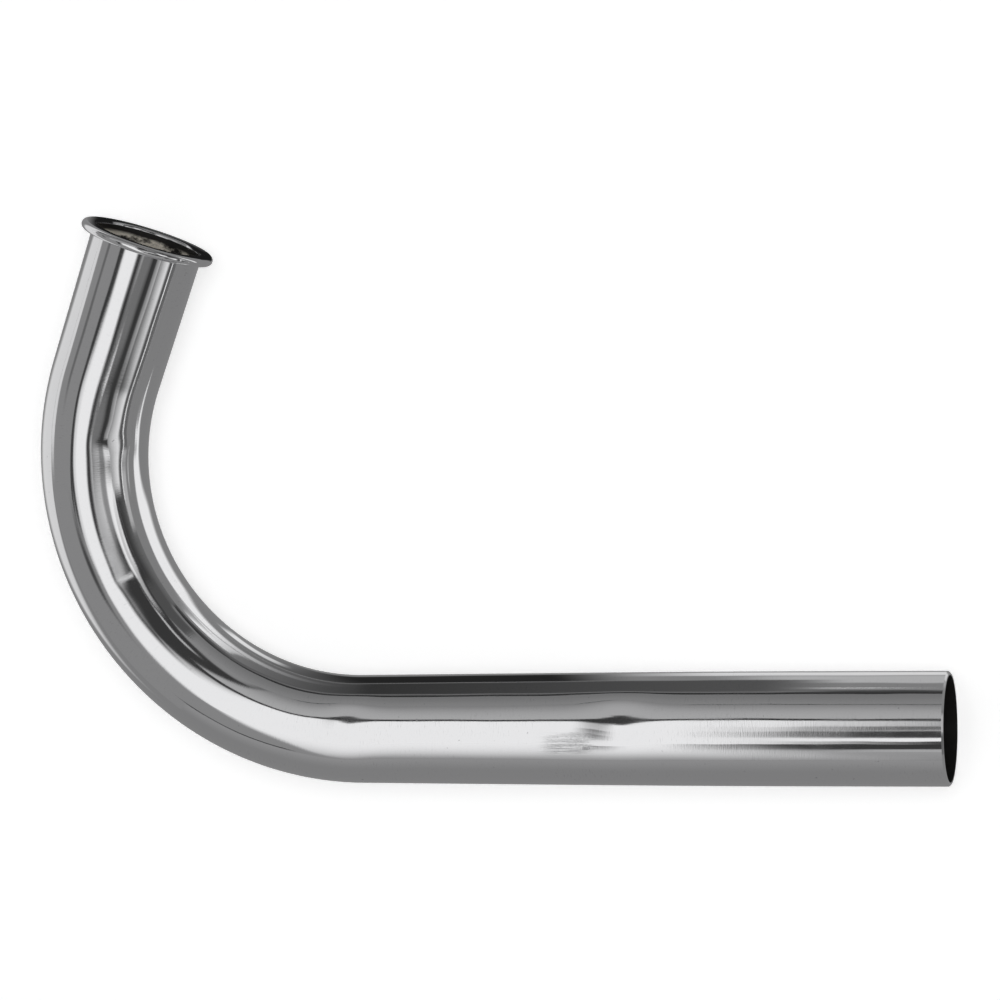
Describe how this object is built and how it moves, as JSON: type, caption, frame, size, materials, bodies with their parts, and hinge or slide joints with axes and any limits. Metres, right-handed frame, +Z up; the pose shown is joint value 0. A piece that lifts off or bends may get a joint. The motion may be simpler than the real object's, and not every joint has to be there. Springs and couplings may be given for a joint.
{
  "type": "waste elbow",
  "caption": "Bent chromed waste tube: long plain outlet leg, wide bend of more than a right angle, and a short inlet leg ending in a rounded collar for a slip nut.",
  "frame": {"origin": "centre of the cut outlet end, on the axis of the outlet leg", "axes": "+X out of the outlet along its leg, +Y to the side that the inlet leg bends to, +Z up as the elbow lies at rest"},
  "size_m": [0.2582, 0.1627, 0.0386],
  "materials": {
    "chrome": "polished chrome plating on brass tube, with rub marks and small dents from bending"
  },
  "bodies": {
    "root": {"waste_elbow": "chrome"}
  },
  "joints": []
}
